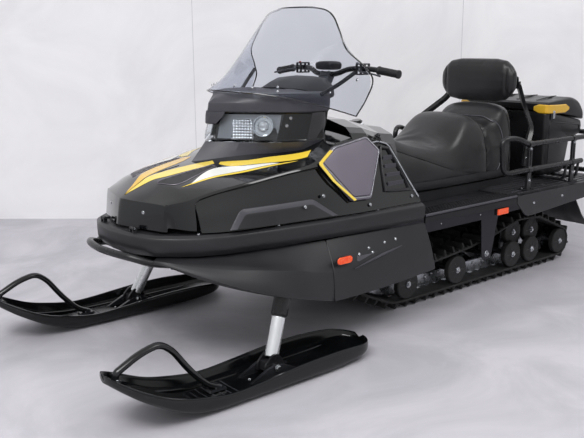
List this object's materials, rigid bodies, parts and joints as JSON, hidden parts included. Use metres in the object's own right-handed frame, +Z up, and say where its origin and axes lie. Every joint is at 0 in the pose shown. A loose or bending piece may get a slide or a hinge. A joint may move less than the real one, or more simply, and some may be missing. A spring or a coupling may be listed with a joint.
{
  "type": "wide-track utility snowmobile",
  "caption": "Two-seat utility snowmobile on a wide rubber track, with steered skis, tilting hood and windscreen, passenger backrest, cargo rack and a lidded cargo box.",
  "frame": {"origin": "on the floor, at the middle of the machine's length and width", "axes": "+Z up, the machine faces -Y, its left side is +X"},
  "size_m": [1.21, 3.0712, 1.2817],
  "materials": {
    "gloss_panel": "gloss",
    "dark_plastic": "satin",
    "board_plastic": "satin",
    "hex_plastic": "satin",
    "box_plastic": "matte",
    "cowl_plastic": "satin",
    "ski_plastic": "satin",
    "wheel_plastic": "satin",
    "black_steel": "satin",
    "tunnel_alloy": "satin",
    "engine_alloy": "rough",
    "bright_alloy": "brushed",
    "track_rubber": "matte",
    "flap_rubber": "matte",
    "grip_rubber": "matte",
    "seat_vinyl": "grained",
    "clear_screen": "gloss",
    "clear_lens": "gloss",
    "lamp_chrome": "polished",
    "orange_lens": "gloss",
    "red_lens": "gloss"
  },
  "bodies": {
    "chassis": {"tunnel": "tunnel_alloy", "running_board_left": "board_plastic", "running_board_right": "board_plastic", "rear_deck": "dark_plastic", "rear_bumper": "black_steel", "tow_hitch": "black_steel", "snow_flap": "flap_rubber", "belly_pan": "dark_plastic", "lower_fascia": "dark_plastic", "footwell_left": "dark_plastic", "footwell_right": "dark_plastic", "front_bumper": "black_steel", "engine": "engine_alloy", "console": "gloss_panel", "side_panel_left": "gloss_panel", "side_panel_right": "gloss_panel", "hex_cover_left": "hex_plastic", "hex_cover_right": "hex_plastic", "seat_base": "gloss_panel", "seat_front": "seat_vinyl", "seat_rear": "seat_vinyl", "backrest_pad": "seat_vinyl", "backrest_bracket": "black_steel", "cargo_rack": "black_steel", "cargo_box": "box_plastic", "track": "track_rubber", "drive_axle": "wheel_plastic", "slide_rails": "bright_alloy", "suspension_arms": "black_steel", "rear_shock": "bright_alloy", "rail_wheels": "wheel_plastic", "carrier_wheels": "wheel_plastic", "rear_idlers": "wheel_plastic", "strut_sleeves": "black_steel", "steering_support": "black_steel", "side_reflectors": "orange_lens", "tail_light": "red_lens"},
    "hood": {"hood": "gloss_panel", "headlight_cowl": "cowl_plastic", "headlight_lens": "clear_lens", "headlight_lamps": "lamp_chrome", "instrument_panel": "cowl_plastic", "windscreen": "clear_screen"},
    "cargo_lid": {"cargo_lid": "box_plastic"},
    "handlebar": {"handlebar": "black_steel", "handlebar_pad": "seat_vinyl", "grips": "grip_rubber", "control_levers": "cowl_plastic"},
    "left_ski": {"spindle_left": "bright_alloy", "ski_left": "ski_plastic", "ski_handle_left": "black_steel"},
    "right_ski": {"spindle_right": "bright_alloy", "ski_right": "ski_plastic", "ski_handle_right": "black_steel"}
  },
  "joints": [
    {"name": "hood_tilt", "type": "hinge", "parent": "chassis", "child": "hood", "pos_m": [0, -1.212, 0.514], "axis": [1, 0, 0], "range_deg": [0, 60]},
    {"name": "lid_hinge", "type": "hinge", "parent": "chassis", "child": "cargo_lid", "pos_m": [0, 1.406, 0.738], "axis": [-1, 0, 0], "range_deg": [0, 80]},
    {"name": "steering", "type": "hinge", "parent": "chassis", "child": "handlebar", "pos_m": [0, -0.21, 1], "axis": [0, 0.5, 0.866], "range_deg": [-30, 30]},
    {"name": "left_ski_turn", "type": "hinge", "parent": "chassis", "child": "left_ski", "pos_m": [0.49, -0.91, 0.05], "axis": [-0.2056, 0.4058, 0.8905], "range_deg": [-27, 27]},
    {"name": "right_ski_turn", "type": "hinge", "parent": "chassis", "child": "right_ski", "pos_m": [-0.49, -0.91, 0.05], "axis": [0.2056, 0.4058, 0.8905], "range_deg": [-27, 27]}
  ],
  "couplings": [
    {"joint": "left_ski_turn", "follows": "steering", "ratio": 0.9},
    {"joint": "right_ski_turn", "follows": "steering", "ratio": 0.9}
  ]
}
